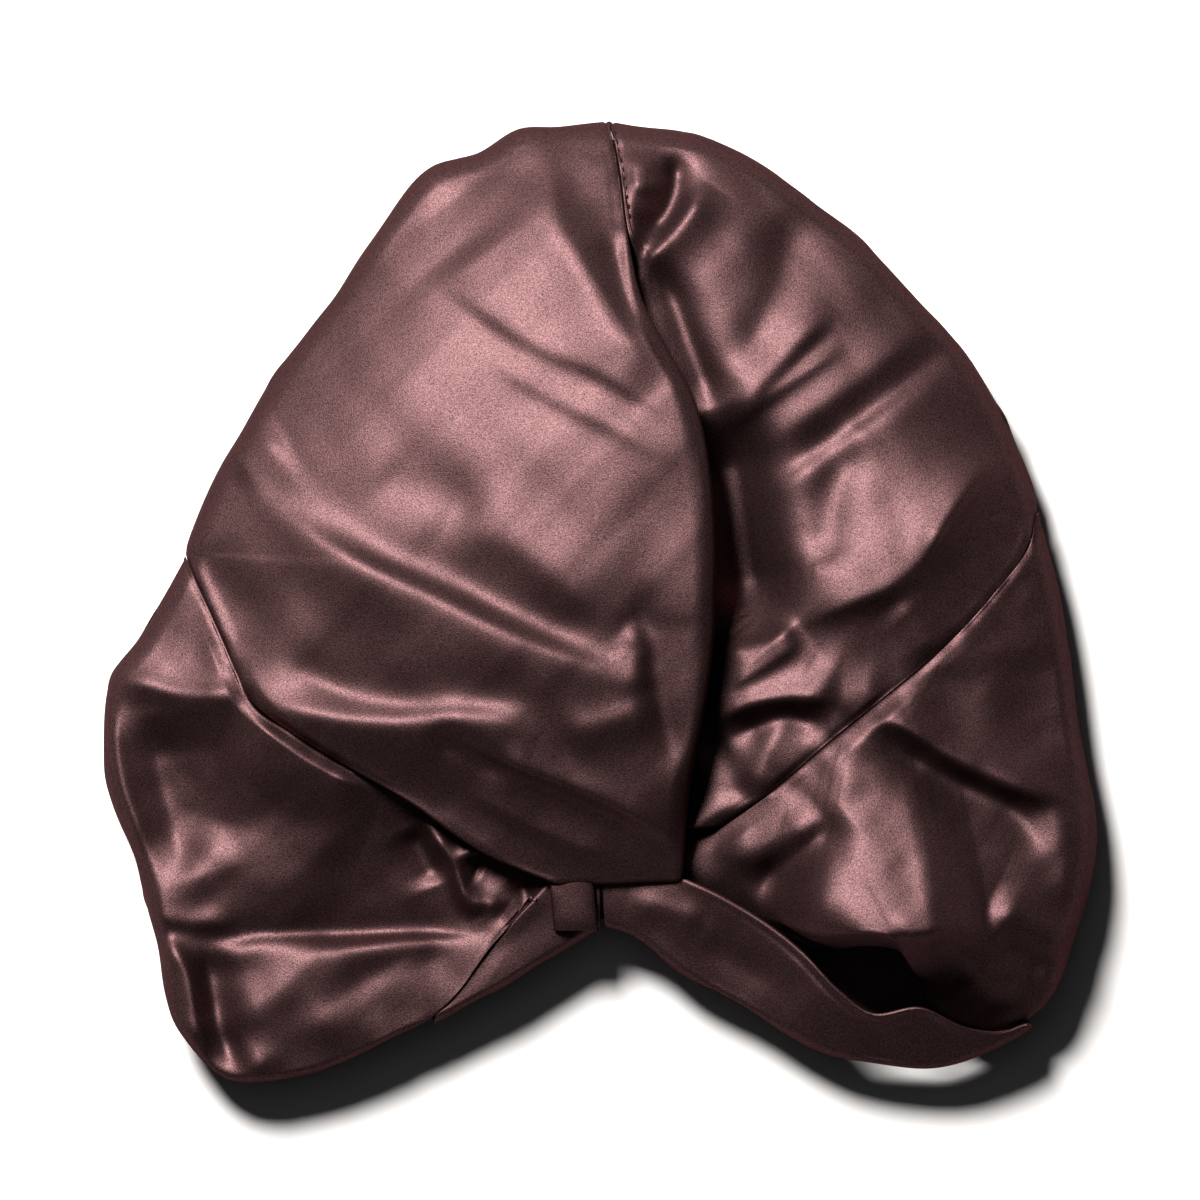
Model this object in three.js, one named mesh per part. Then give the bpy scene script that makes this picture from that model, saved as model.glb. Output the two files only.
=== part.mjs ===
// Satin sleep bonnet with a twisted front, lying empty and face up on its back.
// Millimetres. +Z is up from the surface it lies on, +Y runs from the head opening to the crown's top,
// and +X is the right-hand side seen from above. The origin is under the middle of the outline.
//
// Every cloth piece is a panel: a strip of sections, each running from an inner edge to an outer edge.
// The panel's height is the pillow form that all pieces share, plus its own lift at the edges and its folds.
import * as THREE from "three";

// Driving dimensions
const WALL = 1.6; // cloth thickness, a folded double layer of satin
const SEAM_GAP = 0.9; // clearance between two pieces that are sewn edge to edge
const SHELF_REACH = 60; // distance from the outline over which the pillow form rises
const SIDE_RIM = 12; // radius of the fold where the cloth turns under to the back
const HEM_RIM = 5; // radius of the softly rolled front hem at the head opening
const HEM_ROOM = 0.4; // most of a narrow hem strip's width that its rolled edge may take
const HEM_FOOT = 14; // height of the head opening under the front hem
const PILLOW = { low: 12, rise: 26, x: -15, y: 35, spread: 95 }; // rounded form above the shelf
const BACK_HEM_INSET = 3; // how far the back hem stays inside the front hem
const BACK_GAP = 1.4; // clearance between the back and the turned rim
const BACK_STEP = 3; // spacing of points along the back's outline
const EDGE_FADE = 9; // folds die away over this distance from a panel's edge
const TURN_STEPS = 3; // facets in a turned edge

const SATIN = { color: 0x4a3033, roughness: 0.42, metalness: 0.0 };

// Panels
// One row for each section, from the panel's start to its end. in* is the inner edge, out* the outer edge.
// Lift is the height above the shared form, roll the radius of a turned edge and turn its angle in degrees.
// rim is 1 where the outer edge lies on the bonnet's outline and turns under to the surface.
const COLUMNS = "inX inY inLift inRoll inTurn outX outY outLift outRoll outTurn rim".split(" ");
const table = (rows) => rows.map((row) => Object.fromEntries(COLUMNS.map((name, i) => [name, row[i]])));

const CROWN_LEFT = table([
  [2.5, 145, 0, 2.2, 30, 1.5, 145.5, 0, 12, 90, 1],
  [4.5, 136, 0, 2.2, 30, -12, 144, 0, 12, 90, 1],
  [6, 127, 0, 2.2, 30, -23, 143.5, 0, 12, 90, 1],
  [8, 111, 0, 2.2, 40, -38, 135, 0, 12, 90, 1],
  [10, 100, 2, 3, 80, -52, 131, 0, 12, 90, 1],
  [12.5, 90, 4, 4.5, 100, -65, 115.5, 0, 12, 90, 1],
  [20, 75, 6, 6, 110, -80, 93, 0, 12, 90, 1],
  [28, 60, 7, 7, 110, -97, 70.5, 0, 12, 90, 1],
  [32, 44, 8, 7, 110, -111, 48, 0, 12, 90, 1],
  [34, 26, 8, 7, 110, -119, 33, 0, 12, 90, 1],
  [34.5, 8, 8, 7, 110, -126, 15.5, 0, 12, 80, 1],
  [34, -10, 8, 7, 110, -113.5, -11, 0, 2.2, 30, 0],
  [32, -28, 9, 7, 110, -105, -29.7, 0, 2.2, 30, 0],
  [29, -44, 9, 6, 110, -92, -40, 0.5, 2.2, 30, 0],
  [27, -56, 9, 6, 110, -75.6, -49.8, 2, 2.2, 40, 0],
  [26, -66, 9, 5, 110, -58, -60, 5, 2.2, 60, 0],
  [25.5, -75, 8, 4, 110, -36, -75.5, 8, 2.5, 80, 0],
  [25, -84.5, 6.5, 3, 80, -15, -84, 7.5, 2.5, 80, 0],
]);

const CROWN_RIGHT = table([
  [3.9, 145, 0, 2.2, 30, 5.2, 145.4, 0, 12, 90, 1],
  [5.4, 136, 0, 2.2, 30, 15, 143.5, 0, 12, 90, 1],
  [6.8, 127, 0, 2.2, 30, 25, 142, 0, 12, 90, 1],
  [8.9, 111, -1, 2.2, 30, 38, 138, 0, 12, 90, 1],
  [11, 100, -9, 2.2, 30, 52, 130.5, 0, 12, 90, 1],
  [9.5, 90, -13, 2.2, 30, 66, 120, 0, 12, 90, 1],
  [14, 75, -15, 2.2, 30, 81, 108, 0, 12, 90, 1],
  [22, 60, -16, 2.2, 30, 97, 91, 0, 12, 90, 1],
  [26, 44, -16, 2.2, 30, 109.5, 77, 0, 12, 90, 1],
  [27, 28, -16, 2.2, 30, 121, 58, 0, 12, 90, 1],
  [27, 14, -16, 2.2, 30, 128, 42, 0, 12, 90, 1],
  [27, 0, -16, 2.2, 30, 132.3, 29.5, 0, 12, 80, 1],
  [27, -12, -16, 2.2, 30, 129, 16, 0, 2.2, 30, 0],
  [27, -24, -15, 2.2, 30, 115, -2, 0, 2.2, 30, 0],
  [27, -35, -14, 2.2, 30, 100, -17, 0, 2.2, 30, 0],
  [27, -46, -13, 2.2, 30, 84, -30, 0, 2.2, 30, 0],
  [26, -55, -13, 2.2, 30, 68, -43, -1, 2.2, 30, 0],
  [23, -62, -11.5, 2.2, 30, 52, -57, -3, 2.2, 30, 0],
  [20, -69, -8, 2.2, 30, 36, -68.5, -7, 2.2, 30, 0],
]);

const BAND_LEFT = table([
  [-126, 14.5, 0, 2.2, 30, -127, 12.5, 0, 12, 90, 1],
  [-113.5, -11, 0, 2.2, 30, -140, -12, 0, 12, 90, 1],
  [-105, -29.7, 0, 2.2, 30, -149, -30, 0, 12, 90, 1],
  [-92, -40, -0.5, 2.2, 30, -150.5, -54, 0, 12, 90, 1],
  [-75.6, -49.8, -2, 2.2, 30, -141, -79.5, 0, 12, 90, 1],
  [-57, -57, -4, 2.2, 30, -135, -102, 0, 12, 90, 1],
  [-46, -62, -6, 2.2, 30, -127.5, -130, 0, 8, 90, 1],
  [-38, -67, -6, 2.2, 30, -112, -145, 0, 5, 90, 1],
  [-31, -71, -6, 2.2, 30, -90, -143.7, 0, 5, 90, 1],
  [-25, -75, -6, 2.2, 30, -67, -135, 0, 5, 90, 1],
  [-20, -77, -5, 2.2, 30, -46, -121.5, 2, 3, 80, 0],
  [-15, -79, -4, 2.2, 30, -33, -105, 2, 3, 80, 0],
  [-11, -80, -4, 2.2, 30, -21, -91, 1, 3, 80, 0],
]);

const BAND_RIGHT = table([
  [132.6, 27, 0, 2.2, 30, 134, 25, 0, 12, 90, 1],
  [129, 16, 0, 2.2, 30, 138, 9, 0, 12, 90, 1],
  [115, -2, 0, 2.2, 30, 142, -12, 0, 12, 90, 1],
  [100, -17, 0, 2.2, 30, 145.5, -38, 0, 12, 90, 1],
  [84, -30, 0, 2.2, 30, 150, -60, 0, 12, 90, 1],
  [68, -43, -1, 2.2, 30, 150, -80, 0, 12, 90, 1],
  [60, -50, -2, 2.2, 30, 144, -102, 0, 12, 90, 1],
  [52, -57, -3, 2.2, 30, 135, -121.5, 0, 10, 90, 1],
  [46, -61, -4, 2.2, 30, 117, -122, -12, 3, 60, 0],
  [42, -64, -5, 2.2, 30, 97, -115, -14, 3, 60, 0],
  [39, -66.5, -6, 2.2, 30, 74, -104, -12, 3, 60, 0],
  [32, -70.5, -8, 2.2, 30, 50, -95, -9, 3, 60, 0],
  [20, -73, -11, 2.2, 30, 24, -87, -8, 3, 60, 0],
]);

const HEM_RIGHT = table([
  [0.5, -82, 2.4, 2.2, 30, 1.5, -99.3, 0, 5, 90, 1],
  [14, -82, 2.4, 2.2, 30, 10, -102.5, 0, 5, 90, 1],
  [29, -86, 1.2, 2.2, 30, 24, -113, 0, 5, 90, 1],
  [45, -93, 0, 2.2, 30, 41, -122, 0, 5, 90, 1],
  [61, -104, 0, 2.2, 30, 57, -132, 0, 5, 90, 1],
  [73, -115.5, 0, 2.2, 30, 70, -138, 0, 5, 90, 1],
  [83, -122.5, 0, 2.2, 30, 86, -141, 0, 5, 90, 1],
  [96, -122, 0, 2.2, 30, 102, -141.5, 0, 5, 90, 1],
  [111, -127.5, 0, 2.2, 30, 117, -137, 0, 5, 90, 1],
  [124, -127.5, 0, 2.2, 30, 128, -131, 0, 5, 90, 1],
  [130.4, -124.4, 0, 2.2, 30, 133, -126.6, 0, 5, 90, 1],
]);

const HEM_LEFT = table([
  [-47, -120, -11, 2.2, 30, -49, -126.5, 0, 5, 90, 1],
  [-36, -108, -11, 2.2, 30, -37.5, -121.5, 0, 5, 90, 1],
  [-26, -98, -10, 2.2, 30, -26, -115.5, 0, 5, 90, 1],
  [-15, -87, -5, 2.2, 30, -14, -108, 0, 5, 90, 1],
  [-8, -82, 2.8, 2.2, 30, -6, -103, 0, 5, 90, 1],
  [-1.2, -82, 2.8, 2.2, 30, -0.8, -99.5, 0, 5, 90, 1],
]);

// Folds
// path runs along the crest or the valley. height is above the panel, or below it where negative.
// left and right are the reach of the fold's two sides, as seen looking along the path.
const FOLDS = {
  crown_left: [
    { path: [[-18, 139], [-7, 103], [4, 82], [17, 63]], height: 7, left: 9, right: 10 },
    { path: [[-22, 138], [-16, 110], [-9, 92]], height: -5.5, left: 9, right: 9 },
    { path: [[-53, 99], [-25, 82], [1, 67], [24, 51]], height: 4, left: 9, right: 8 },
    { path: [[-51, 84], [-25, 65], [-6, 54], [23, 39]], height: 4, left: 9, right: 9 },
    { path: [[-104, 31], [-54, 19], [-19, 3], [10, -10]], height: 8.5, left: 15, right: 9 },
    { path: [[-90, 24], [-61, 9], [-40, -1], [9, -17]], height: -7, left: 9, right: 9 },
    { path: [[-116, 34], [-79, 13], [-54, -1], [-19, -15], [17, -32]], height: 10, left: 9, right: 13 },
    { path: [[-90, -12], [-60, -24], [-30, -30], [-7, -37]], height: -7, left: 12, right: 10 },
    { path: [[-112, -12], [-87, -31], [-51, -37], [-17, -42], [17, -32]], height: 8.5, left: 10, right: 12 },
    { path: [[-48, -41], [-11, -57], [23, -76]], height: 5.5, left: 12, right: 8 },
  ],
  crown_right: [
    { path: [[23, 135], [21, 120], [15, 109], [9, 106]], height: -8.5, left: 9, right: 9 },
    { path: [[44, 70], [53, 85], [56, 104], [60, 118]], height: -7, left: 10, right: 10 },
    { path: [[37, 52], [53, 64], [67, 80], [76, 86]], height: 5.5, left: 9, right: 8 },
    { path: [[48, 48], [82, 70], [99, 79]], height: -5.5, left: 9, right: 9 },
    { path: [[33, 30], [67, 47], [101, 67]], height: -7, left: 9, right: 8 },
    { path: [[46, 27], [68, 40], [100, 64]], height: 5.5, left: 8, right: 11 },
    { path: [[69, 16], [72, 35], [96, 58]], height: -5.5, left: 10, right: 10 },
    { path: [[35, -16], [72, -5], [103, 19], [125, 37]], height: 10, left: 15, right: 9 },
  ],
  band_left: [
    { path: [[-148, -25], [-126, -28], [-110, -23]], height: 7, left: 13, right: 9 },
    { path: [[-104, -61], [-73, -74], [-54, -72]], height: 5.5, left: 13, right: 13 },
    { path: [[-52, -68], [-44, -77], [-37, -94]], height: 5.5, left: 8, right: 8 },
    { path: [[-135, -98], [-94, -100], [-53, -99], [-30, -99]], height: -7, left: 11, right: 8 },
    { path: [[-135, -98], [-123, -115], [-121, -134]], height: 5.5, left: 9, right: 9 },
    { path: [[-120, -108], [-117, -115], [-116, -136]], height: -5.5, left: 9, right: 10 },
  ],
  band_right: [
    { path: [[78, -34], [105, -50], [133, -59]], height: 7, left: 13, right: 8 },
    { path: [[78, -41], [110, -55], [131, -69], [133, -76]], height: -8.5, left: 8, right: 11 },
    { path: [[80, -70], [95, -82]], height: 8.5, left: 17, right: 17 },
    { path: [[51, -81], [61, -71]], height: -5.5, left: 8, right: 9 },
    { path: [[122, -82], [112, -94]], height: -7, left: 10, right: 10 },
  ],
  hem_right: [{ path: [[70, -118], [86, -133], [100, -132]], height: -3, left: 11, right: 11 }],
  hem_left: [],
};

// Curves and sections

// Value at t (0 to 1) of a smooth curve through evenly spaced values.
function spline(values, t) {
  const span = values.length - 1;
  const i = Math.min(Math.floor(t * span), span - 1);
  const f = t * span - i;
  const at = (k) => values[Math.max(0, Math.min(span, k))];
  const [a, b, c, d] = [at(i - 1), at(i), at(i + 1), at(i + 2)];
  return b + 0.5 * f * (c - a + f * (2 * a - 5 * b + 4 * c - d + f * (3 * (b - c) + d - a)));
}

// The section at t (0 to 1) along a panel's table, with every column worked out.
function sectionAt(rows, t) {
  return Object.fromEntries(COLUMNS.map((name) => [name, spline(rows.map((row) => row[name]), t)]));
}

const RIM_SAMPLES = 6; // points on the outline between two table rows

// The stretch of outline that a panel's outer edge makes, in table order.
function outlineStretch(rows) {
  const last = rows.findLastIndex((row) => row.rim === 1);
  const first = rows.findIndex((row) => row.rim === 1);
  const points = [];
  for (let k = first * RIM_SAMPLES; k <= last * RIM_SAMPLES; k++) {
    const s = sectionAt(rows, k / RIM_SAMPLES / (rows.length - 1));
    points.push({ x: s.outX, y: s.outY });
  }
  return points;
}

// The whole outline, counter-clockwise from the crown's top. The head opening runs along the two hems.
const sides = [
  { points: outlineStretch(CROWN_LEFT), mouth: false },
  { points: outlineStretch(BAND_LEFT), mouth: false },
  { points: outlineStretch(HEM_LEFT), mouth: true },
  { points: outlineStretch(HEM_RIGHT), mouth: true },
  { points: outlineStretch(BAND_RIGHT).reverse(), mouth: false },
  { points: outlineStretch(CROWN_RIGHT).reverse(), mouth: false },
];
const LOBE_TURN_Y = -112; // below this height the left lobe's outline is front hem as well
const OUTLINE = sides.flatMap(({ points, mouth }) =>
  points.map((p) => ({ ...p, mouth: mouth || p.y < LOBE_TURN_Y ? 1 : 0 })),
);
const MOUTH_BLEND = 3; // neighbouring outline points over which side rim turns into hem
for (let pass = 0; pass < MOUTH_BLEND; pass++) {
  const before = OUTLINE.map((p) => p.mouth);
  const n = before.length;
  OUTLINE.forEach((p, i) => (p.mouth = (before[(i + n - 1) % n] + before[i] + before[(i + 1) % n]) / 3));
}

// Nearest point of the outline: distance, rim radius, height of its underside, and the direction inwards.
function nearestRim(x, y) {
  let best = { distance: Infinity };
  OUTLINE.forEach((a, i) => {
    const b = OUTLINE[(i + 1) % OUTLINE.length];
    const [dx, dy] = [b.x - a.x, b.y - a.y];
    const length = Math.hypot(dx, dy);
    if (length < 1e-6) return;
    const f = THREE.MathUtils.clamp(((x - a.x) * dx + (y - a.y) * dy) / length ** 2, 0, 1);
    const distance = Math.hypot(x - a.x - f * dx, y - a.y - f * dy);
    if (distance >= best.distance) return;
    const mouth = THREE.MathUtils.lerp(a.mouth, b.mouth, f);
    best = { distance, mouth, inward: [-dy / length, dx / length] };
  });
  best.radius = THREE.MathUtils.lerp(SIDE_RIM, HEM_RIM, best.mouth);
  best.foot = THREE.MathUtils.lerp(0, HEM_FOOT, best.mouth);
  return best;
}

// How far a turned edge of this radius has dropped at a distance from the edge.
function edgeDrop(distance, radius) {
  const away = 1 - Math.min(distance / radius, 1);
  return radius * (1 - Math.sqrt(1 - away * away));
}

// Height of the pillow form that all front pieces share.
function sharedForm(x, y) {
  const rim = nearestRim(x, y);
  const far = Math.min(rim.distance / SHELF_REACH, 1);
  const rise = 1 - (1 - far) ** 2;
  const round = ((x - PILLOW.x) ** 2 + (y - PILLOW.y) ** 2) / PILLOW.spread ** 2;
  const shelf = rim.foot + 2 * rim.radius - edgeDrop(rim.distance, rim.radius);
  return shelf + rise * (PILLOW.low + PILLOW.rise * Math.exp(-round));
}

// Height that one fold adds at a point: full along its path, easing out to both sides and both ends.
function foldHeight(fold, x, y) {
  const END_FADE = 0.18;
  const STEPS = 4;
  const count = (fold.path.length - 1) * STEPS;
  const point = (k) => [0, 1].map((axis) => spline(fold.path.map((p) => p[axis]), k / count));
  let best = { distance: Infinity };
  for (let k = 0; k < count; k++) {
    const [ax, ay] = point(k);
    const [bx, by] = point(k + 1);
    const length2 = (bx - ax) ** 2 + (by - ay) ** 2;
    const f = THREE.MathUtils.clamp(((x - ax) * (bx - ax) + (y - ay) * (by - ay)) / length2, 0, 1);
    const [ox, oy] = [x - ax - f * (bx - ax), y - ay - f * (by - ay)];
    const distance = Math.hypot(ox, oy);
    if (distance < best.distance) {
      best = { distance, along: (k + f) / count, side: (bx - ax) * oy - (by - ay) * ox };
    }
  }
  const reach = best.side > 0 ? fold.left : fold.right;
  const ends = Math.min(best.along, 1 - best.along) / END_FADE;
  const taper = 0.35 + 0.65 * THREE.MathUtils.smoothstep(ends, 0, 1);
  return fold.height * taper * Math.exp(-((best.distance / reach) ** 2));
}

// Solids

// A closed wall of even thickness behind a grid of points on its outer face.
function wallFromGrid(grid) {
  const [rows, columns] = [grid.length, grid[0].length];
  const face = new THREE.BufferGeometry();
  const outer = grid.flat();
  const quads = [];
  for (let i = 0; i + 1 < rows; i++) {
    for (let j = 0; j + 1 < columns; j++) {
      const [a, b] = [i * columns + j, i * columns + j + 1];
      const [c, d] = [a + columns, b + columns];
      quads.push(a, b, d, a, d, c);
    }
  }
  face.setAttribute("position", new THREE.Float32BufferAttribute(outer.flatMap((p) => p.toArray()), 3));
  face.setIndex(quads);
  face.computeVertexNormals();
  const normals = face.getAttribute("normal");
  const middle = Math.floor(rows / 2) * columns + Math.floor(columns / 2);
  const facing = Math.sign(normals.getZ(middle)); // -1 where the grid runs the other way round
  const inner = outer.map((p, k) =>
    p.clone().addScaledVector(new THREE.Vector3().fromBufferAttribute(normals, k), -WALL * facing),
  );

  const triangles = [...quads];
  const behind = outer.length;
  for (let k = 0; k < quads.length; k += 3) {
    triangles.push(quads[k] + behind, quads[k + 2] + behind, quads[k + 1] + behind);
  }
  const border = [];
  for (let j = 0; j < columns - 1; j++) border.push(j);
  for (let i = 0; i < rows - 1; i++) border.push(i * columns + columns - 1);
  for (let j = columns - 1; j > 0; j--) border.push((rows - 1) * columns + j);
  for (let i = rows - 1; i > 0; i--) border.push(i * columns);
  border.forEach((a, k) => {
    const b = border[(k + 1) % border.length];
    triangles.push(a, a + behind, b, b, a + behind, b + behind);
  });
  if (facing < 0) {
    for (let k = 0; k < triangles.length; k += 3) {
      [triangles[k + 1], triangles[k + 2]] = [triangles[k + 2], triangles[k + 1]];
    }
  }
  const wall = new THREE.BufferGeometry();
  const points = [...outer, ...inner].flatMap((p) => p.toArray());
  wall.setAttribute("position", new THREE.Float32BufferAttribute(points, 3));
  wall.setIndex(triangles);
  wall.computeVertexNormals();
  return wall;
}

// One section of a panel as points, from the turned inner edge over the top to the turned outer edge.
function sectionPoints(section, folds, across) {
  const [dx, dy] = [section.outX - section.inX, section.outY - section.inY];
  const length = Math.hypot(dx, dy);
  const [ux, uy] = [dx / length, dy / length];
  const heightAt = (share) => {
    const [x, y] = [section.inX + share * dx, section.inY + share * dy];
    const [fromIn, fromOut] = [share * length, (1 - share) * length];
    const lift = section.inLift * (1 - share) ** 2 + section.outLift * share ** 2;
    const fade = THREE.MathUtils.smoothstep(Math.min(fromIn, fromOut), 0, EDGE_FADE);
    const folded = folds.reduce((sum, fold) => sum + foldHeight(fold, x, y), 0);
    const seamDrop = (1 - section.rim) * edgeDrop(fromOut, section.outRoll);
    return sharedForm(x, y) + lift + fade * folded - edgeDrop(fromIn, section.inRoll) - seamDrop;
  };

  const points = [];
  const inHeight = heightAt(0);
  for (let k = TURN_STEPS; k > 0; k--) {
    const angle = THREE.MathUtils.degToRad((section.inTurn * k) / TURN_STEPS);
    const back = section.inRoll * (1 - Math.cos(angle));
    const drop = section.inRoll * Math.sin(angle);
    points.push(new THREE.Vector3(section.inX + back * ux, section.inY + back * uy, inHeight - drop));
  }
  for (let k = 0; k <= across; k++) {
    const share = 0.5 - 0.5 * Math.cos((Math.PI * k) / across); // closer together near both edges
    points.push(new THREE.Vector3(section.inX + share * dx, section.inY + share * dy, heightAt(share)));
  }
  const outHeight = points.at(-1).z;
  const rim = nearestRim(section.outX, section.outY);
  const inward = section.rim > 0.5 ? rim.inward : [-ux, -uy];
  const room = rim.mouth > 0.5 ? HEM_ROOM * length : Infinity;
  const radius = Math.min(section.rim > 0.5 ? rim.radius : section.outRoll, room);
  for (let k = 1; k <= TURN_STEPS; k++) {
    const angle = THREE.MathUtils.degToRad((section.outTurn * k) / TURN_STEPS);
    const back = radius * (1 - Math.cos(angle));
    const drop = radius * Math.sin(angle);
    const [x, y] = [section.outX + back * inward[0], section.outY + back * inward[1]];
    points.push(new THREE.Vector3(x, y, Math.max(outHeight - drop, 0)));
  }
  return points;
}

// A section whose inner edge is moved towards its outer edge by a gap.
function heldClear(section, gap) {
  const length = Math.hypot(section.outX - section.inX, section.outY - section.inY);
  const share = gap / length;
  const inX = THREE.MathUtils.lerp(section.inX, section.outX, share);
  const inY = THREE.MathUtils.lerp(section.inY, section.outY, share);
  return { ...section, inX, inY };
}

// A cloth panel, its inner edge held clear of the piece it is sewn to.
function panel(name, rows, along, across, gap = 0) {
  const grid = [];
  for (let k = 0; k <= along; k++) {
    const section = heldClear(sectionAt(rows, k / along), gap);
    grid.push(sectionPoints(section, FOLDS[name], across));
  }
  return clothPiece(name, wallFromGrid(grid));
}

function clothPiece(name, geometry) {
  const mesh = new THREE.Mesh(geometry, new THREE.MeshStandardMaterial(SATIN));
  mesh.name = name;
  return mesh;
}

// A flat back piece, inside the turned rim and above the surface that the bonnet lies on.
function backPiece(name, outline) {
  const shape = new THREE.Shape(outline.map(([x, y]) => new THREE.Vector2(x, y)));
  return clothPiece(name, new THREE.ExtrudeGeometry(shape, { depth: WALL, bevelEnabled: false }));
}

// Outline of the back, moved in from the front outline to clear the turned rim, or a little at the hem.
function backOutline() {
  return OUTLINE.map((p) => {
    const rim = nearestRim(p.x, p.y);
    const inset = THREE.MathUtils.lerp(SIDE_RIM + BACK_GAP, BACK_HEM_INSET, rim.mouth);
    return [p.x + inset * rim.inward[0], p.y + inset * rim.inward[1]];
  });
}

// The same loop of points without any that crowd the one before.
function thinned(points) {
  const kept = [];
  points.forEach((p) => {
    const before = kept.at(-1);
    if (!before || Math.hypot(p[0] - before[0], p[1] - before[1]) > BACK_STEP) kept.push(p);
  });
  return kept;
}

// The back seam runs straight across between the two points where the side seams meet the outline.
function splitBack() {
  const outline = backOutline();
  const leftSeam = sides[0].points.length - 1;
  const rightSeam = outline.length - sides[5].points.length;
  const lowered = ([x, y]) => [x, y - SEAM_GAP];
  return {
    crown: thinned([...outline.slice(rightSeam), ...outline.slice(0, leftSeam + 1)]),
    band: thinned(outline.slice(leftSeam, rightSeam + 1).map(lowered)),
  };
}

const bonnet = new THREE.Group();
bonnet.add(
  panel("crown_left", CROWN_LEFT, 42, 13),
  panel("crown_right", CROWN_RIGHT, 36, 11),
  panel("band_left", BAND_LEFT, 24, 10, SEAM_GAP),
  panel("band_right", BAND_RIGHT, 24, 10, SEAM_GAP),
  panel("hem_right", HEM_RIGHT, 22, 4),
  panel("hem_left", HEM_LEFT, 10, 4),
);
const back = splitBack();
bonnet.add(backPiece("crown_back", back.crown), backPiece("band_back", back.band));

export default bonnet;
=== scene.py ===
"""Looks of a satin sleep bonnet with a twisted front, lying empty and face up on a pale surface.

The frame is the part's own: +Z up from the surface, +Y from the head opening to the crown's top,
+X to the right seen from above. Tables are in millimetres, meshes in metres.
"""

from __future__ import annotations

import logging
import math
from dataclasses import dataclass
from enum import Enum
from typing import Sequence

import bpy
import numpy as np
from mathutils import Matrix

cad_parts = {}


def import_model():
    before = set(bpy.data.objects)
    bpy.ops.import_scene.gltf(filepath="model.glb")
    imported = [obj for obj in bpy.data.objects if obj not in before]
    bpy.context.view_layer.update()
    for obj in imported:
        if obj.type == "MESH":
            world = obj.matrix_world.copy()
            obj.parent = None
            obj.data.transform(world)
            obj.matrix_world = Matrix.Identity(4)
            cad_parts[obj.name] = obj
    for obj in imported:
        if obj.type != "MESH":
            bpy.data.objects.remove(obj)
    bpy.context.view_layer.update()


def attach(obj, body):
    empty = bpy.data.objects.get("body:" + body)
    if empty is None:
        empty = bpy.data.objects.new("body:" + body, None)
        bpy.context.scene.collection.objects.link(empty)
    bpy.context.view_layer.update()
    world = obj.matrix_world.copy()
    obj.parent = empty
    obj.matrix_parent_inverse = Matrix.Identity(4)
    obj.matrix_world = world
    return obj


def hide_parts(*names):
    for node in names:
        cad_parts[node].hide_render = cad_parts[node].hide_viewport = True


LOG = logging.getLogger("bonnet")
MM = 0.001
TINY = 1e-9
SMALL = 1e-6

Array = np.ndarray
Point = tuple[float, float]


@dataclass(frozen=True)
class ClothSizes:
    """Sizes that every cloth piece shares, in millimetres."""

    wall: float = 1.2
    shelf_reach: float = 44.0
    side_rim: float = 12.0
    hem_rim: float = 5.0
    rim_tightness: float = 0.55
    hem_foot: float = 14.0
    seam_fade: float = 6.0
    rim_fade: float = 2.5
    rim_wave: float = 0.4
    foot_clear: float = 0.2
    lie_clear: float = 0.1
    back_gap: float = 1.4
    back_hem_inset: float = 3.0
    turn_steps: int = 10


@dataclass(frozen=True)
class Pillow:
    """The rounded form that all front pieces share above the shelf inside the outline."""

    low: float = 12.0
    rise: float = 22.0
    x: float = -12.0
    y: float = 42.0
    spread: float = 112.0
    flatness: float = 3.2
    steepness: float = 1.6
    right_lobe: float = 13.0
    ramp: float = 80.0
    ramp_x: tuple[float, float] = (-10.0, 60.0)
    lobe_x: tuple[float, float] = (40.0, 85.0)
    lobe_y: tuple[float, float] = (10.0, 105.0)


SIZES = ClothSizes()
PILLOW = Pillow()


def spline(values: Array, at: Array) -> Array:
    """Evaluate a smooth curve through evenly spaced rows.

    Args:
        values: Rows to pass through, one per knot.
        at: Positions from 0 to 1.

    Returns:
        One row for each position.
    """
    values = np.asarray(values, dtype=float)
    span = len(values) - 1
    place = np.clip(np.asarray(at, dtype=float), 0.0, 1.0) * span
    i = np.minimum(place.astype(int), span - 1)
    f = (place - i).reshape(-1, *([1] * (values.ndim - 1)))
    a, b, c, d = (values[np.clip(i + k, 0, span)] for k in (-1, 0, 1, 2))
    return b + 0.5 * f * (c - a + f * (2 * a - 5 * b + 4 * c - d + f * (3 * (b - c) + d - a)))


def smooth(value: Array, low: float, high: float) -> Array:
    """Ease from 0 at low to 1 at high.

    Args:
        value: Values to ease.
        low: Where the result is 0.
        high: Where the result is 1.

    Returns:
        The eased values.
    """
    t = np.clip((value - low) / (high - low), 0.0, 1.0)
    return t * t * (3 - 2 * t)


def edge_drop(distance: Array, radius: Array, width: float = 1.0) -> Array:
    """Height lost at a distance from a turned edge.

    Args:
        distance: Distance from the edge.
        radius: Radius of the turn, or its height where it isn't round.
        width: Width of the turn as a share of its height.

    Returns:
        The drop below the level inside the edge.
    """
    away = 1.0 - np.clip(distance / np.maximum(radius * width, SMALL), 0.0, 1.0)
    return radius * (1.0 - np.sqrt(np.maximum(1.0 - away * away, 0.0)))


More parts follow.
